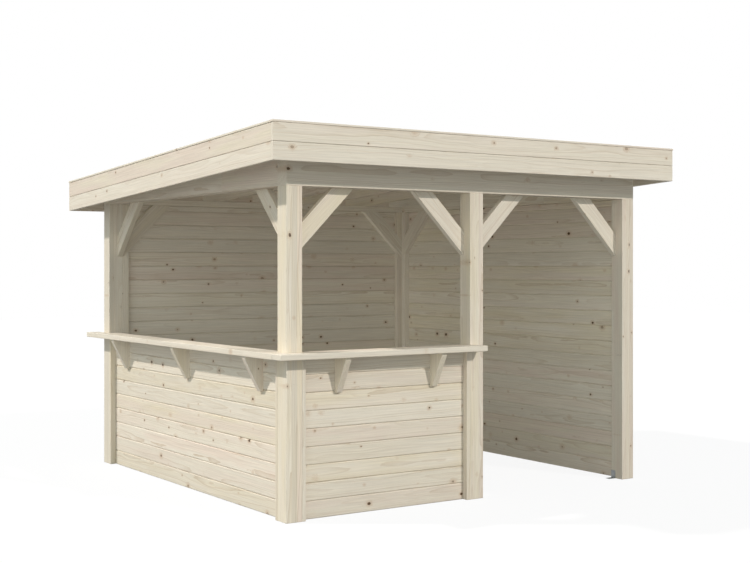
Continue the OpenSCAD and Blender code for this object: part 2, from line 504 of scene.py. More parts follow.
def ring_group() -> bpy.types.NodeTree:
    """The year rings of a sawn timber.

    The tree's heart runs along the timber at a place drawn from its seed.
    The distance from the heart, bent by slow noise along the timber and by
    the knots, is divided by the ring's width, and each ring darkens towards
    its outer edge as a power of its share, some years more than others.

    Returns:
        A group giving the dark late wood, the fine fibre and slow patches.
    """
    tree, s, i, out = new_group(
        "spruce_rings",
        {"Place": Kind.VECTOR, "Seed": Kind.VALUE, "Ring": Kind.VALUE, "Bend": Kind.VALUE},
        {"Late": Kind.VALUE, "Fibre": Kind.VALUE, "Patch": Kind.VALUE})
    lot = s.split(s.chance(s.join(i["Seed"], 1.7, 0.3)).outputs["Color"])
    heart = s.join(0.0, s.ramp(lot[0], 0.0, 1.0, -0.055, 0.055, False),
                   s.ramp(lot[1], 0.0, 1.0, 0.03, 0.11, False))
    shifted = s.plus(i["Place"], s.join(s.math("MULTIPLY", i["Seed"], 37.0),
                                        s.math("MULTIPLY", i["Seed"], 11.0),
                                        s.math("MULTIPLY", i["Seed"], 5.0)))
    slow = s.noise(s.times(shifted, (0.9, 4.0, 4.0)), 2.0)
    lean = s.math("MULTIPLY", s.math("SUBTRACT", slow, 0.5), 0.05)
    quick = s.noise(s.times(shifted, (5.0, 26.0, 26.0)), 2.0)
    ripple = s.math("MULTIPLY", s.math("SUBTRACT", quick, 0.5), 0.006)
    off = s.times(s.vector("SUBTRACT", i["Place"], heart).outputs[0], (0.0, 1.0, 1.0))
    out_from = s.vector("LENGTH", off).outputs["Value"]
    bent = s.math("ADD", s.math("ADD", out_from, lean),
                  s.math("ADD", ripple, s.math("MULTIPLY", i["Bend"], 0.9)))
    count = s.math("DIVIDE", bent, i["Ring"])
    phase = s.math("FRACT", count)
    rise = s.math("POWER", phase, 2.2)
    fall = s.ramp(phase, 0.93, 1.0, 1.0, 0.0)
    year = s.chance(s.join(i["Seed"], s.math("FLOOR", count), 5.0)).outputs["Value"]
    dry = s.ramp(s.math("POWER", year, 2.0), 0.0, 1.0, 0.25, 1.6, False)
    late = s.math("MULTIPLY", s.math("MULTIPLY", rise, fall), dry)
    fibre = s.noise(s.times(shifted, (2.6, 170.0, 170.0)), 4.0, 0.7)
    patch = s.noise(s.times(shifted, (1.4, 13.0, 13.0)), 2.0)
    s.wire(late, out.inputs["Late"])
    s.wire(fibre, out.inputs["Fibre"])
    s.wire(patch, out.inputs["Patch"])
    return tree


def tone_group() -> bpy.types.NodeTree:
    """The colour of one timber among its neighbours.

    Two chances drawn from the seed lead from the pale to the yellow and the
    pink wood, and a third makes the timber a little darker or lighter.

    Returns:
        A group giving the timber's ground colour.
    """
    tree, s, i, out = new_group(
        "spruce_tone",
        {"Seed": Kind.VALUE, "Patch": Kind.VALUE, "Pale": Kind.COLOUR, "Yellow": Kind.COLOUR,
         "Pink": Kind.COLOUR, "Spread": Kind.VALUE},
        {"Colour": Kind.COLOUR})
    lot = s.split(s.chance(s.join(i["Seed"], 4.1, 9.2)).outputs["Color"])
    warm = s.math("MULTIPLY", s.ramp(lot[0], 0.25, 1.0), s.ramp(i["Patch"], 0.2, 0.75))
    rosy = s.math("MULTIPLY", s.ramp(lot[1], 0.4, 1.0), s.ramp(i["Patch"], 0.7, 0.3))
    ground = s.mix(rosy, s.mix(warm, i["Pale"], i["Yellow"]), i["Pink"])
    swing = s.math("MULTIPLY", s.math("SUBTRACT", lot[2], 0.5), i["Spread"])
    level = s.math("ADD", 1.0, swing)
    s.wire(s.times(ground, s.join(level, level, level)), out.inputs["Colour"])
    return tree


def lamella_group() -> bpy.types.NodeTree:
    """The glued layers of a laminated post.

    The place through the post is divided by the layer's thickness: the
    whole part numbers the layer and the rest draws the thin glue line.

    Returns:
        A group giving each layer's own seed and the glue line.
    """
    tree, s, i, out = new_group(
        "glued_layers",
        {"Place": Kind.VECTOR, "Seed": Kind.VALUE, "Layer": Kind.VALUE, "Turn": Kind.VALUE},
        {"Seed": Kind.VALUE, "Glue": Kind.VALUE})
    _, w, t = s.split(i["Place"])
    way = s.math("ADD", s.math("MULTIPLY", w, i["Turn"]),
                 s.math("MULTIPLY", t, s.math("SUBTRACT", 1.0, i["Turn"])))
    count = s.math("ADD", s.math("DIVIDE", way, i["Layer"]), 10.5)
    number = s.math("FLOOR", count)
    drawn = s.chance(s.join(i["Seed"], number, 2.0)).outputs["Value"]
    edge = s.math("ABSOLUTE", s.math("SUBTRACT", s.math("FRACT", count), 0.5))
    s.wire(drawn, out.inputs["Seed"])
    s.wire(s.ramp(edge, 0.475, 0.497), out.inputs["Glue"])
    return tree


class Groups:
    """The shader groups, each built once."""

    def __init__(self) -> None:
        """Builds all groups."""
        self.knots = knot_group()
        self.rings = ring_group()
        self.tone = tone_group()
        self.layers = lamella_group()

    @staticmethod
    def use(sheet: Sheet, group: bpy.types.NodeTree, **values: object) -> bpy.types.Node:
        """Places a group in a material and sets its inputs by name."""
        made = sheet.node("ShaderNodeGroup", node_tree=group)
        for label, value in values.items():
            sheet.wire(value, made.inputs[label])
        return made


# ---------------------------------------------------------------- finishes

Colour = tuple[float, float, float, float]


@dataclass(frozen=True)
class Spruce:
    """A planed, untreated spruce finish.

    Attributes:
        name: the material's name.
        pale: the ground colour of the palest timbers.
        yellow: the ground colour of the yellow ones.
        pink: the ground colour of the pink ones.
        ring: the width of a year ring in metres.
        ring_depth: how far the late wood darkens.
        knot_along: the length of a cell that may hold a knot.
        knot_across: the width of that cell.
        knot_radius: the radius of the largest knots.
        knot_share: the share of cells with a knot.
        spread: how much the timbers differ in lightness.
        layer: the thickness of a glued layer, or 0 for a solid timber.
        roughness: the surface's roughness.
    """

    name: str
    pale: Colour = (0.715, 0.655, 0.555, 1.0)
    yellow: Colour = (0.690, 0.610, 0.465, 1.0)
    pink: Colour = (0.690, 0.585, 0.495, 1.0)
    late: Colour = (0.42, 0.29, 0.17, 1.0)
    knot: Colour = (0.105, 0.058, 0.030, 1.0)
    bark: Colour = (0.030, 0.020, 0.014, 1.0)
    halo: Colour = (0.46, 0.29, 0.16, 1.0)
    ring: float = 0.0062
    ring_depth: float = 0.37
    knot_along: float = 0.24
    knot_across: float = 0.13
    knot_radius: float = 0.0145
    knot_share: float = 0.72
    spread: float = 0.09
    layer: float = 0.0
    roughness: float = 0.62

    def build(self, groups: Groups) -> bpy.types.Material:
        """Makes the material.

        Args:
            groups: the shader groups to place in it.

        Returns:
            The material.
        """
        material, s = new_material(self.name)
        place = s.node("ShaderNodeAttribute", attribute_name=PLACE).outputs["Vector"]
        seed = s.node("ShaderNodeAttribute", attribute_name=TIMBER_SEED).outputs["Fac"]
        glue: object = 0.0
        if self.layer > 0:
            layers = groups.use(s, groups.layers, Place=place, Seed=seed,
                                Layer=self.layer, Turn=1.0)
            seed, glue = layers.outputs["Seed"], layers.outputs["Glue"]
        shift = s.plus(place, s.join(s.math("MULTIPLY", seed, 61.0),
                                     s.math("MULTIPLY", seed, 17.0), 0.0))
        knots = groups.use(s, groups.knots, Place=shift, Along=self.knot_along,
                           Across=self.knot_across, Radius=self.knot_radius,
                           Share=self.knot_share)
        rings = groups.use(s, groups.rings, Place=place, Seed=seed, Ring=self.ring,
                           Bend=knots.outputs["Bend"])
        tone = groups.use(s, groups.tone, Seed=seed, Patch=rings.outputs["Patch"],
                          Pale=self.pale, Yellow=self.yellow, Pink=self.pink,
                          Spread=self.spread)
        late = s.math("MULTIPLY", rings.outputs["Late"], self.ring_depth)
        wood = s.mix(late, tone.outputs["Colour"], self.late)
        hair = s.ramp(rings.outputs["Fibre"], 0.25, 0.75, 0.84, 1.10, False)
        wood = s.times(wood, s.join(hair, hair, hair))
        wood = s.mix(s.math("MULTIPLY", knots.outputs["Halo"], 0.42), wood, self.halo)
        depth = s.ramp(knots.outputs["Dark"], 0.0, 1.0, 0.35, 1.0, False)
        wood = s.mix(s.math("MULTIPLY", knots.outputs["Core"], depth), wood, self.knot)
        wood = s.mix(s.math("MULTIPLY", knots.outputs["Bark"], depth), wood, self.bark)
        if self.layer > 0:
            wood = s.mix(s.math("MULTIPLY", glue, 0.35), wood, self.late)
        shader = s.node("ShaderNodeBsdfPrincipled")
        s.wire(wood, shader.inputs["Base Color"])
        rough = s.ramp(rings.outputs["Late"], 0.0, 1.0, self.roughness,
                       self.roughness - 0.12, False)
        s.wire(rough, shader.inputs["Roughness"])
        shader.inputs["Specular IOR Level"].default_value = 0.12
        height = s.math("SUBTRACT", s.math("ADD", rings.outputs["Late"],
                                           s.math("MULTIPLY", rings.outputs["Fibre"], 0.6)),
                        s.math("MULTIPLY", knots.outputs["Bark"], 0.8))
        bumped(s, shader, height, 0.35, 0.0006)
        close_material(s, shader.outputs[0])
        return material


@dataclass(frozen=True)
class Galvanised:
    """Hot-dipped steel with its soft grey spangle.

    Attributes:
        name: the material's name.
        bright: the colour of the bright crystals.
        dull: the colour of the dull crystals.
    """

    name: str = "galvanised_steel"
    bright: Colour = (0.50, 0.51, 0.52, 1.0)
    dull: Colour = (0.24, 0.25, 0.26, 1.0)

    def build(self) -> bpy.types.Material:
        """Makes the material."""
        material, s = new_material(self.name)
        at = s.node("ShaderNodeTexCoord").outputs["Object"]
        crystal = s.node("ShaderNodeTexVoronoi", voronoi_dimensions="3D", feature="F1")
        crystal.inputs["Scale"].default_value = 140.0
        s.wire(at, crystal.inputs["Vector"])
        pick = s.split(crystal.outputs["Color"])[0]
        cloud = s.noise(s.times(at, (35.0, 35.0, 35.0)), 3.0)
        colour = s.mix(s.math("MULTIPLY", pick, cloud), self.dull, self.bright)
        shader = s.node("ShaderNodeBsdfPrincipled")
        s.wire(colour, shader.inputs["Base Color"])
        shader.inputs["Metallic"].default_value = 0.85
        s.wire(s.ramp(pick, 0.0, 1.0, 0.42, 0.62, False), shader.inputs["Roughness"])
        bumped(s, shader, cloud, 0.25, 0.0003)
        close_material(s, shader.outputs[0])
        return material


@dataclass
class Finishes:
    """All finishes of the gazebo."""

    groups: Groups = field(default_factory=Groups)

    def __post_init__(self) -> None:
        """Builds the materials."""
        self.board = Spruce("spruce_wall_boards").build(self.groups)
        self.post = Spruce("spruce_laminated_posts", layer=0.042, knot_along=0.42,
                           knot_across=0.07, knot_radius=0.0115, knot_share=0.95,
                           ring=0.0050, spread=0.13).build(self.groups)
        self.beam = Spruce("spruce_beams", knot_along=0.45, knot_across=0.16,
                           spread=0.06).build(self.groups)
        self.fascia = Spruce("spruce_fascia", knot_along=0.34, knot_across=0.13,
                             ring_depth=0.34, spread=0.06).build(self.groups)
        self.counter = Spruce("spruce_counter", knot_along=0.40, knot_across=0.12,
                              spread=0.04, roughness=0.55).build(self.groups)
        self.brace = Spruce("spruce_braces", knot_along=0.38, knot_across=0.12,
                            knot_radius=0.010, spread=0.10).build(self.groups)
        self.steel = Galvanised().build()


# ---------------------------------------------------------------- the plan


@dataclass(frozen=True)
class Plan:
    """The lines that the timbers are set out from, taken from the CAD boxes.

    Attributes:
        left: the left posts' outer face.
        right: the right posts' outer face.
        front: the front posts' outer face.
        back: the back posts' outer face.
        side: the side of a post.
        middle: the middle post's left face.
        head: the underside of the beams.
        fall: the drop of the roof for each metre towards the back.
    """

    left: float
    right: float
    front: float
    back: float
    side: float
    middle: float
    head: float
    fall: float

    @staticmethod
    def of_frame() -> "Plan":
        """Reads the plan from the posts and beams."""
        near, far = Box.of("post_front_left"), Box.of("post_back_right")
        front, back = Box.of("beam_front"), Box.of("beam_back")
        fall = (front.hi[2] - back.hi[2]) / (back.lo[1] - front.lo[1])
        return Plan(near.lo[0], far.hi[0], near.lo[1], far.hi[1], near.size(0),
                    Box.of("post_front_middle").lo[0], near.hi[2], fall)


def upright(x: Pair, y: Pair, z: Pair, radius: float = 0.003, **more: object) -> Bar:
    """A square-cut timber standing on its end, with its layers along X."""
    return Bar((x[0], y[0], z[0]), z[1] - z[0],
               rectangle(x[1] - x[0], y[1] - y[0], radius), Z_AXIS, X_AXIS, Y_AXIS, **more)


def level_x(x: Pair, y: Pair, z: Pair, fall: float = 0.0, radius: float = 0.003,
            level_base: bool = False, **more: object) -> Bar:
    """A timber along X whose section may follow the roof's fall.

    The section's corner at depth w lies fall * w lower than at the front,
    except that a level base keeps its underside flat.

    Args:
        x: where it starts and ends.
        y: its front and back face.
        z: its underside and top at its front face.
        fall: the drop for each metre of depth.
        radius: the easing of its arrises.
        level_base: whether only its top follows the fall.

    Returns:
        The timber.
    """
    w, h = y[1] - y[0], z[1] - z[0]
    drop = fall * w
    base = 0.0 if level_base else -drop
    outline = rounded([(0, 0), (w, base), (w, h - drop), (0, h)], radius)
    return Bar((x[0], y[0], z[0]), x[1] - x[0], outline, X_AXIS, Y_AXIS, Z_AXIS, **more)


def sloping_y(x: Pair, y: Pair, z: Pair, fall: float, radius: float = 0.003,
              **more: object) -> Bar:
    """A timber along Y that drops with the roof; z is given at its front end."""
    return Bar((x[0], y[0], z[0]), y[1] - y[0],
               rectangle(x[1] - x[0], z[1] - z[0], radius), (0.0, 1.0, -fall), X_AXIS,
               Z_AXIS, **more)


def matched_board(width: float, thickness: float, bevel: float, tongue: bool = True,
                  groove: bool = True) -> np.ndarray:
    """The section of a tongued and grooved board with bevelled edges.

    Args:
        width: the face width, groove edge to shoulder.
        thickness: the board's thickness.
        bevel: the bevel on each face edge.
        tongue: whether the far edge carries a tongue.
        groove: whether the near edge is grooved.

    Returns:
        The outline in (width, thickness), counter-clockwise.
    """
    centre, half, reach, play = 0.5 * thickness, 0.125 * thickness, 0.007, 0.0006
    points: list[Pair] = [(bevel, 0.0), (width - bevel, 0.0), (width, bevel)]
    if tongue:
        points += [(width, centre - half), (width + reach, centre - half),
                   (width + reach, centre + half), (width, centre + half)]
    points += [(width, thickness - bevel), (width - bevel, thickness),
               (bevel, thickness), (0.0, thickness - bevel)]
    if groove:
        points += [(0.0, centre + half + play), (reach + play, centre + half + play),
                   (reach + play, centre - half - play), (0.0, centre - half - play)]
    points.append((0.0, bevel))
    return np.asarray(points, float)


# ---------------------------------------------------------------- sub-assemblies


@dataclass
class Assembly:
    """What every sub-assembly is set out and finished with."""

    plan: Plan
    finishes: Finishes

    def build(self) -> None:
        """Builds the sub-assembly."""
        raise NotImplementedError


@dataclass
class Posts(Assembly):
    """The five laminated posts."""

    easing: float = 0.004
    end_easing: float = 0.002

    def build(self) -> None:
        """Sets up each post as one laminated timber."""
        for node in ("post_front_left", "post_front_middle", "post_front_right",
                     "post_back_left", "post_back_right"):
            box = Box.of(node)
            Joinery("timber_" + node, (node,), self.finishes.post).bars([
                upright((box.lo[0], box.hi[0]), (box.lo[1], box.hi[1]),
                        (box.lo[2], box.hi[2]), self.easing,
                        arris=self.end_easing)]).build()


@dataclass
class Beams(Assembly):
    """The ring of beams on the posts."""

    easing: float = 0.003
    joint: float = 0.81
    joint_gap: float = 0.001

    def build(self) -> None:
        """Lays the front and back beams, then the two jointed side beams."""
        fall = self.plan.fall
        for node in ("beam_front", "beam_back"):
            box = Box.of(node)
            Joinery("timber_" + node, (node,), self.finishes.beam).bars([
                level_x((box.lo[0], box.hi[0]), (box.lo[1], box.hi[1]),
                        (box.lo[2], box.hi[2]), fall, self.easing,
                        level_base=True, grain_turn=SIDE_GRAIN)]).build()
        for node in ("beam_left", "beam_right"):
            box = Box.of(node)
            start, end, base = box.lo[1], box.hi[1], box.lo[2]
            tall = box.size(2)
            cut = start + self.joint
            half = 0.5 * self.joint_gap
            lengths = [(start, cut - half), (cut + half, end)]
            bars = []
            for a, b in lengths:
                first, last = tall - fall * (a - start), tall - fall * (b - start)
                bars.append(Bar((box.lo[0], a, base), b - a,
                                rectangle(box.size(0), first, self.easing), Y_AXIS,
                                X_AXIS, Z_AXIS, end_height=last / first,
                                grain_turn=SIDE_GRAIN))
            Joinery("timber_" + node, (node,), self.finishes.beam).bars(bars).build()


@dataclass
class Roof(Assembly):
    """The rafters, roof boards, fascias and cappings."""

    rafters: int = 7
    rafter_width: float = 0.045
    board: float = 0.121
    gap: float = 0.0008
    narrowest: float = 0.02
    deck_bevel: float = 0.002
    fascia_easing: float = 0.0042
    capping_width: float = 0.05
    capping_easing: float = 0.003

    def at(self, z_front: float, y_front: float, y: float) -> float:
        """The height at depth y of a line that falls with the roof."""
        return z_front - self.plan.fall * (y - y_front)

    def build_rafters(self) -> None:
        """Lays the rafters at even steps between the outer faces."""
        box, fall = Box.of("rafters"), self.plan.fall
        depth = box.size(2) - fall * box.size(1)
        width = self.rafter_width
        step = (box.size(0) - width) / (self.rafters - 1)
        Joinery("timber_rafters", ("rafters",), self.finishes.beam).bars(
            sloping_y((box.lo[0] + i * step, box.lo[0] + i * step + width),
                      (box.lo[1], box.hi[1]), (box.hi[2] - depth, box.hi[2]), fall,
                      grain_turn=SIDE_GRAIN)
            for i in range(self.rafters)).build()

    def build_deck(self) -> None:
        """Lays the matched roof boards across the rafters, front to back."""
        box, fall = Box.of("roof_deck"), self.plan.fall
        thick = box.size(2) - fall * box.size(1)
        count = int(math.ceil(box.size(1) / self.board))
        piece = Joinery("timber_roof_boards", ("roof_deck",), self.finishes.board)
        for i in range(count):
            y = box.lo[1] + i * self.board
            width = min(self.board, box.hi[1] - y) - self.gap
            if width < self.narrowest:
                continue
            piece.bar(Bar((box.lo[0], y, self.at(box.hi[2] - thick, box.lo[1], y)),
                          box.size(0),
                          matched_board(width, thick, self.deck_bevel,
                                        tongue=i < count - 1),
                          X_AXIS, (0.0, 1.0, -fall), Z_AXIS))
        piece.build()

    def build_fascias(self) -> None:
        """Fixes two edge boards, one above the other, on each side."""
        for node, lay in (("fascia_front", level_x), ("fascia_back", level_x),
                          ("fascia_left", sloping_y), ("fascia_right", sloping_y)):
            box = Box.of(node)
            tall = box.size(2) - self.plan.fall * box.size(1)
            low, mid = box.hi[2] - tall, box.hi[2] - 0.5 * tall
            Joinery("timber_" + node, (node,), self.finishes.fascia).bars(
                lay((box.lo[0], box.hi[0]), (box.lo[1], box.hi[1]), z, self.plan.fall,
                    self.fascia_easing, grain_turn=SIDE_GRAIN)
                for z in ((low, mid - self.gap), (mid + self.gap, box.hi[2]))).build()

    def build_cappings(self) -> None:
        """Lays the capping strips over the roof's edges."""
        fall, width = self.plan.fall, self.capping_width
        box = Box.of("capping_front_back")
        thick = box.size(2) - fall * box.size(1)
        piece = Joinery("timber_capping_front_back", ("capping_front_back",),
                        self.finishes.fascia)
        for y in (box.lo[1], box.hi[1] - width):
            top = self.at(box.hi[2], box.lo[1], y)
            piece.bar(level_x((box.lo[0], box.hi[0]), (y, y + width), (top - thick, top),
                              fall, self.capping_easing))
        piece.build()
        box = Box.of("capping_sides")
        thick = box.size(2) - fall * box.size(1)
        piece = Joinery("timber_capping_sides", ("capping_sides",), self.finishes.fascia)
        for x in (box.lo[0], box.hi[0] - width):
            piece.bar(sloping_y((x, x + width), (box.lo[1], box.hi[1]),
                                (box.hi[2] - thick, box.hi[2]), fall,
                                self.capping_easing))
        piece.build()

    def build(self) -> None:
        """Builds the whole roof."""
        self.build_rafters()
        self.build_deck()
        self.build_fascias()
        self.build_cappings()


@dataclass
class Walls(Assembly):
    """The walls of matched boards, each laid from the ground up."""

    pitch: float = 0.120
    gap: float = 0.0016
    bevel: float = 0.0056

    def boards(self, node: str, along_y: bool) -> None:
        """Lays one wall.

        Args:
            node: the wall's CAD node.
            along_y: whether its boards run front to back.
        """
        box = Box.of(node)
        along, through = (Y_AXIS, X_AXIS) if along_y else (X_AXIS, Y_AXIS)
        length, thick = box.size(1 if along_y else 0), box.size(0 if along_y else 1)
        count = int(math.ceil(box.size(2) / self.pitch))
        piece = Joinery("timber_" + node, (node,), self.finishes.board)
        for i in range(count):
            z = box.lo[2] + i * self.pitch
            width = min(self.pitch - self.gap, box.hi[2] - z)
            section = matched_board(width, thick, self.bevel, tongue=i < count - 1,
                                    groove=i > 0)
            piece.bar(Bar((box.lo[0], box.lo[1], z), length, section, along, Z_AXIS,
                          through))
        piece.build()

    def build(self) -> None:
        """Builds the two full and the two half walls."""
        self.boards("wall_back", False)
        self.boards("wall_right", True)
        self.boards("half_wall_front", False)
        self.boards("half_wall_left", True)


@dataclass
class Battens(Assembly):
    """The upright battens that hold the boards beside the posts."""

    batten_easing: float = 0.002
    inside: float = 0.056
    outside: float = 0.028
    brace_width: float = 0.1202

    def room_side(self, x: Pair, y: Pair, corner: Triple, across: Triple,
                  through: Triple) -> list[Bar]:
        """An inside batten, cut below and above the brace that crosses it.

        Args:
            x: its extent along X.
            y: its extent along Y.
            corner: the batten's foot at the post's face.
            across: the direction away from the post.
            through: the direction of its thickness.

        Returns:
            Its lower and upper length.
        """
        wide = (x[1] - x[0]) if across[0] else (y[1] - y[0])
        thick = (y[1] - y[0]) if across[0] else (x[1] - x[0])
        head, foot = self.plan.head, Box.of("brace_back_left").lo[2]
        section = rectangle(wide, thick, self.batten_easing)
        low = Bar(corner, foot, section, Z_AXIS, across, through, end_slant=(1.0, 0.0))
        start = foot + self.brace_width * math.sqrt(2.0)
        high = Bar((corner[0], corner[1], start), head - start, section, Z_AXIS, across,
                   through, start_slant=(1.0, 0.0))
        return [low, high]

    def build(self) -> None:
        """Builds the battens of all four walls."""
        p, out, foot, ease = self.plan, self.outside, 0.0, self.batten_easing
        inner_x, inner_y = p.left + p.side, p.back - p.side
        far = p.right - p.side
        back, right = Box.of("wall_back"), Box.of("wall_right")
        boards = [upright((x, x + out), (back.hi[1], p.back), (foot, p.head), ease)
                  for x in (inner_x, far - out)]
        gap_y = (inner_y, back.lo[1])
        boards += self.room_side((inner_x, inner_x + self.inside), gap_y,
                                 (inner_x, inner_y, foot), X_AXIS, Y_AXIS)
        boards += self.room_side((far - self.inside, far), gap_y,
                                 (far, inner_y, foot), (-1.0, 0.0, 0.0), Y_AXIS)
        Joinery("timber_battens_back", ("battens_back",), self.finishes.brace).bars(
            boards).build()
        boards = [upright((right.hi[0], p.right), (y, y + out), (foot, p.head), ease)
                  for y in (p.front + p.side, inner_y - out)]
        boards += self.room_side((far, right.lo[0]), (inner_y - self.inside, inner_y),
                                 (far, inner_y, foot), (0.0, -1.0, 0.0), X_AXIS)
        Joinery("timber_battens_right", ("battens_right",), self.finishes.brace).bars(
            boards).build()
        half = Box.of("half_wall_front")
        Joinery("timber_battens_front", ("battens_front",), self.finishes.brace).bars(
            upright((x, x + out), (p.front, half.lo[1]), (foot, half.hi[2]), ease)
            for x in (inner_x, p.middle - out)).build()
        half = Box.of("half_wall_left")
        Joinery("timber_battens_left", ("battens_left",), self.finishes.brace).bars(
            upright((p.left, half.lo[0]), (y, y + out), (foot, half.hi[2]), ease)
            for y in (p.front + p.side, inner_y - out)).build()


@dataclass
class Counter(Assembly):
    """The L-shaped bar counter and its brackets."""

    outer_easing: float = 0.005
    outer_end: float = 0.004
    easing: float = 0.003
    bracket: float = 0.045
    run: float = 0.140
    tall: float = 0.243
    tip: float = 0.018
    toe: float = 0.022
    inset: float = 0.300

    def boards(self) -> None:
        """Lays the outer board and the board over the wall on each side."""
        p = self.plan
        box = Box.of("counter_front_board")
        z = (box.lo[2], box.hi[2])
        Joinery("timber_counter_front", ("counter_front_board",),
                self.finishes.counter).bars([
                    level_x((box.lo[0], box.hi[0]), (box.lo[1], p.front), z, 0.0,
                            self.outer_easing, arris=self.outer_end),
                    level_x((p.left + p.side, p.middle), (p.front, box.hi[1]), z, 0.0,
                            self.easing)]).build()
        box = Box.of("counter_left_board")
        Joinery("timber_counter_left", ("counter_left_board",),
                self.finishes.counter).bars([
                    sloping_y((box.lo[0], p.left), (box.lo[1], box.hi[1]), z, 0.0,
                              self.outer_easing, arris=self.outer_end),
                    sloping_y((p.left, box.hi[0]), (p.front + p.side, p.back - p.side), z,
                              0.0, self.easing)]).build()

    def outline(self) -> np.ndarray:
        """A bracket's side: reach out from the boards, and height above its foot."""
        return rounded([(0, 0), (0, self.tall), (-self.run, self.tall),
                        (-self.run, self.tall - self.tip), (-self.toe, 0)][::-1], self.easing)

    def brackets(self) -> None:
        """Fixes the brackets to the boards under the counter."""
        p, t = self.plan, self.bracket
        box = Box.of("counter_brackets_front")
        wall = Box.of("half_wall_front").lo[1]
        side = self.outline()
        Joinery("timber_brackets_front", ("counter_brackets_front",),
                self.finishes.brace).bars(
            Bar((x - t / 2, wall, box.lo[2]), t, side, X_AXIS, Y_AXIS, Z_AXIS,
                grain_turn=(2, 1, 0)) for x in
            (p.left + p.side + self.inset, p.middle - self.inset)).build()
        box = Box.of("counter_brackets_left")
        wall = Box.of("half_wall_left").lo[0]
        Joinery("timber_brackets_left", ("counter_brackets_left",),
                self.finishes.brace).bars(
            Bar((wall, y - t / 2, box.lo[2]), t, side, Y_AXIS, X_AXIS, Z_AXIS,
                grain_turn=(2, 1, 0)) for y in
            (p.front + p.side + self.inset, 0.5 * (p.front + p.back),
             p.back - p.side - self.inset)).build()

    def build(self) -> None:
        """Builds the counter."""
        self.boards()
        self.brackets()


@dataclass
class Braces(Assembly):
    """The knee braces between the posts and the beams."""

    width: float = 0.1202
    easing: float = 0.003
    end_easing: float = 0.002

    def brace(self, node: str, corner: Pair, run: Triple, through: Triple,
              thick: float) -> None:
        """Fits one brace.

        Its start is cut to the post's face, where l equals w, and its end to
        the beam, where l and w together reach the brace's whole length.

        Args:
            node: the brace's CAD node.
            corner: x and y of the post's face at the thickness' start.
            run: the level direction away from the post.
            through: the direction of its thickness.
            thick: its thickness.
        """
        d, foot = math.sqrt(0.5), Box.of(node).lo[2]
        along = (run[0] * d, run[1] * d, d)
        across = (-run[0] * d, -run[1] * d, d)
        section = rectangle(self.width, thick, self.easing)
        Joinery("timber_" + node, (node,), self.finishes.brace).bars([
            Bar((corner[0], corner[1], foot), (self.plan.head - foot) / d, section, along,
                across, through, start_slant=(1.0, 0.0), end_slant=(-1.0, 0.0),
                arris=self.end_easing)]).build()

    def build(self) -> None:
        """Fits the nine braces."""
        p = self.plan
        left_x, right_x = (1.0, 0.0, 0.0), (-1.0, 0.0, 0.0)
        to_back, to_front = (0.0, 1.0, 0.0), (0.0, -1.0, 0.0)
        inner, far, deep = p.left + p.side, p.right - p.side, p.back - p.side
        for node, x, run in (("brace_front_left_post", inner, left_x),
                             ("brace_middle_post_left", p.middle, right_x),
                             ("brace_middle_post_right", p.middle + p.side, left_x),
                             ("brace_front_right_post", far, right_x),
                             ("brace_back_left", inner, left_x),
                             ("brace_back_right", far, right_x)):
            box = Box.of(node)
            self.brace(node, (x, box.lo[1]), run, Y_AXIS, box.size(1))
        for node, y, run in (("brace_left_front", p.front + p.side, to_back),
                             ("brace_left_back", deep, to_front),
                             ("brace_right_back", deep, to_front)):
            box = Box.of(node)
            self.brace(node, (box.lo[0], y), run, X_AXIS, box.size(0))


@dataclass
class Ironwork(Assembly):
    """The galvanised post anchors with their screws."""

    plate: float = 0.0025
    wide: float = 0.044
    head: float = 0.0048
    rise: float = 0.0022
    heights: Pair = (0.024, 0.046)

    def dome(self, centre: Triple, out: Triple) -> tuple[np.ndarray, np.ndarray]:
        """A screw's domed head.

        At angle a above the plate and b round the screw, the point lies
        head * cos(a) from the axis and rise * sin(a) above the plate.

        Args:
            centre: the screw's axis on the plate.
            out: the direction away from the plate.

        Returns:
            The points as rings, and their places.
        """
        a = np.radians(np.linspace(0.0, 82.0, 6))[:, None, None]
        b = np.linspace(0.0, 2 * np.pi, 16, endpoint=False)[None, :, None]
        o = np.asarray(out)
        u = np.cross(o, Z_AXIS)
        v = np.cross(o, u)
        point = (np.asarray(centre) + self.rise * np.sin(a) * o
                 + self.head * np.cos(a) * (np.cos(b) * u + np.sin(b) * v))
        return point, point - np.asarray(centre)

    def screws(self) -> None:
        """Drives two screws through each upright leg."""
        p, half, t = self.plan, self.wide / 2, self.plate
        inner, deep = p.left + p.side, p.front + p.side
        spots = (((p.right - p.side - t, deep - half), (-1.0, 0.0, 0.0)),
                 ((p.middle + p.side / 2, deep + t), (0.0, 1.0, 0.0)),
                 ((inner + t, deep - half), (1.0, 0.0, 0.0)),
                 ((inner - half, p.back - p.side - t), (0.0, -1.0, 0.0)))
        piece = Joinery("anchor_screws", (), self.finishes.steel, Slot.GALVANISED)
        for (x, y), out in spots:
            for z in self.heights:
                point, place = self.dome((x, y, z), out)
                piece.rings(point, place, False)
        piece.build()

    def build(self) -> None:
        """Drives the screws and gives the anchor plates their finish."""
        self.screws()
        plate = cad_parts["post_anchors"]
        plate.data.materials.clear()
        plate.data.materials.append(self.finishes.steel)
        LOG.info("post_anchors: kept and galvanised")


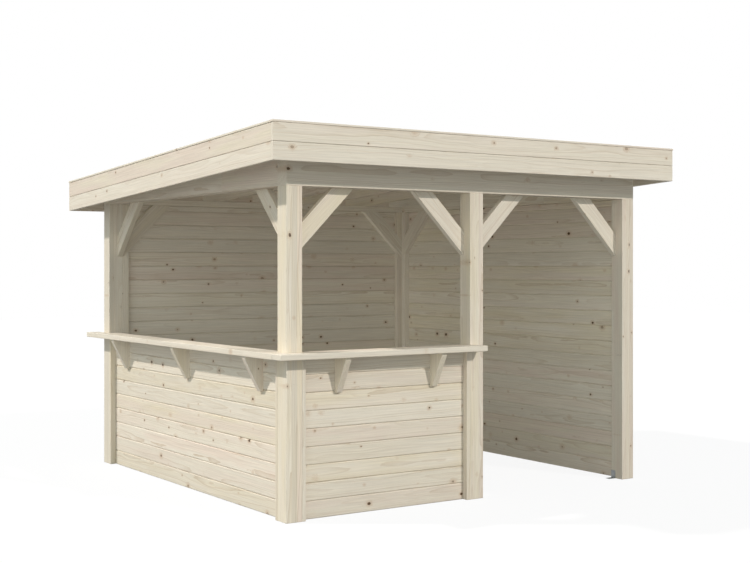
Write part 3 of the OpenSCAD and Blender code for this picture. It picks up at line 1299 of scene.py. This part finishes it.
@dataclass
class Studio:
    """The floor, the lamps, the world and the camera."""

    key: Triple = (-1.0, 0.7, 1.147)
    key_strength: float = 2.95
    fill: Triple = (0.36, -1.0, 0.63)
    fill_strength: float = 1.92
    soft: Triple = (-0.80, -0.58, 0.16)
    soft_strength: float = 1.38
    sky: float = 0.37
    sky_tint: Triple = (0.88, 1.0, 1.05)
    soft_tint: Triple = (0.95, 1.0, 0.96)
    lamp_tint: Triple = (1.0, 0.965, 0.925)
    floor_half: float = 30.0
    floor_tone: float = 0.20
    seen_tone: float = 0.86
    veil: float = 0.90
    eye: Triple = (-5.6602, -8.767, 1.6814)
    yaw: float = 34.276
    lens: float = 60.634
    shift: Pair = (-0.01795, -0.02085)

    def lamp(self, name: str, toward: Triple, strength: float, spread: float,
             tint: Triple, shadow: bool = True) -> None:
        """Hangs a far lamp.

        Args:
            name: the lamp's name.
            toward: the direction in which the lamp lies.
            strength: its strength.
            spread: its width in degrees.
            tint: its colour.
            shadow: whether things cast shadows in its light.
        """
        data = bpy.data.lights.new(name, "SUN")
        data.energy = strength
        data.color = tint
        data.use_shadow = shadow
        data.angle = math.radians(spread)
        made = bpy.data.objects.new(name, data)
        made.rotation_euler = Vector(toward).to_track_quat("Z", "Y").to_euler()
        bpy.context.scene.collection.objects.link(made)

    @staticmethod
    def seen(s: Sheet) -> bpy.types.NodeSocket:
        """1 for what the camera sees directly, mirrored or through glass."""
        path = s.node("ShaderNodeLightPath").outputs
        both = s.math("ADD", path["Is Camera Ray"], path["Is Glossy Ray"], clamp=True)
        return s.math("ADD", both, path["Is Transmission Ray"], clamp=True)

    def floor(self) -> None:
        """Lays the pale floor, which shows white and keeps a faint shadow."""
        half = self.floor_half
        mesh = bpy.data.meshes.new("studio_floor")
        mesh.from_pydata([(-half, -half, 0), (half, -half, 0), (half, half, 0),
                          (-half, half, 0)], [], [(0, 1, 2, 3)])
        floor = bpy.data.objects.new("studio_floor", mesh)
        bpy.context.scene.collection.objects.link(floor)
        material, s = new_material("studio_floor")
        diffuse = s.node("ShaderNodeBsdfDiffuse")
        plain, seen = ((tone,) * 3 + (1.0,) for tone in (self.floor_tone, self.seen_tone))
        s.wire(s.mix(self.seen(s), plain, seen), diffuse.inputs["Color"])
        glow = s.node("ShaderNodeEmission")
        glow.inputs["Strength"].default_value = 1.0
        blend = s.node("ShaderNodeMixShader")
        s.wire(s.math("MULTIPLY", self.seen(s), self.veil), blend.inputs[0])
        s.wire(diffuse.outputs[0], blend.inputs[1])
        s.wire(glow.outputs[0], blend.inputs[2])
        close_material(s, blend.outputs[0])
        mesh.materials.append(material)

    def world(self) -> None:
        """Fills the room with pale light behind a white background."""
        world = bpy.data.worlds.new("studio_world")
        bpy.context.scene.world = world
        world.use_nodes = True
        world.node_tree.nodes.clear()
        s = Sheet(world.node_tree)
        back = s.node("ShaderNodeBackground")
        dim = tuple(self.sky * tint for tint in self.sky_tint) + (1.0,)
        s.wire(s.mix(self.seen(s), dim, (1.0, 1.0, 1.0, 1.0)), back.inputs["Color"])
        back.inputs["Strength"].default_value = 1.0
        end = s.node("ShaderNodeOutputWorld")
        s.wire(back.outputs[0], end.inputs["Surface"])

    def camera(self) -> None:
        """Sets up the camera."""
        data = bpy.data.cameras.new("studio_camera")
        data.lens = self.lens
        data.sensor_width = 36.0
        data.shift_x, data.shift_y = self.shift
        data.clip_end = 200.0
        made = bpy.data.objects.new("studio_camera", data)
        made.location = self.eye
        made.rotation_euler = (math.radians(90.0), 0.0, math.radians(-self.yaw))
        bpy.context.scene.collection.objects.link(made)
        bpy.context.scene.camera = made

    def build(self) -> None:
        """Sets up the whole studio."""
        self.floor()
        self.world()
        self.lamp("lamp_left", self.key, self.key_strength, 2.0, self.lamp_tint)
        self.lamp("lamp_front", self.fill, self.fill_strength, 2.0, self.lamp_tint)
        self.lamp("lamp_soft", self.soft, self.soft_strength, 60.0, self.soft_tint, False)
        self.camera()
        bpy.context.scene.view_settings.view_transform = "Standard"


def main() -> None:
    """Builds the gazebo, sub-assembly by sub-assembly, and its studio."""
    logging.basicConfig(level=logging.INFO, format="%(name)s: %(message)s")
    plan, finishes = Plan.of_frame(), Finishes()
    Studio().build()
    for part in (Posts(plan, finishes), Beams(plan, finishes), Roof(plan, finishes),
                 Walls(plan, finishes), Battens(plan, finishes), Counter(plan, finishes),
                 Braces(plan, finishes), Ironwork(plan, finishes)):
        part.build()


if __name__ == "__main__":
    main()
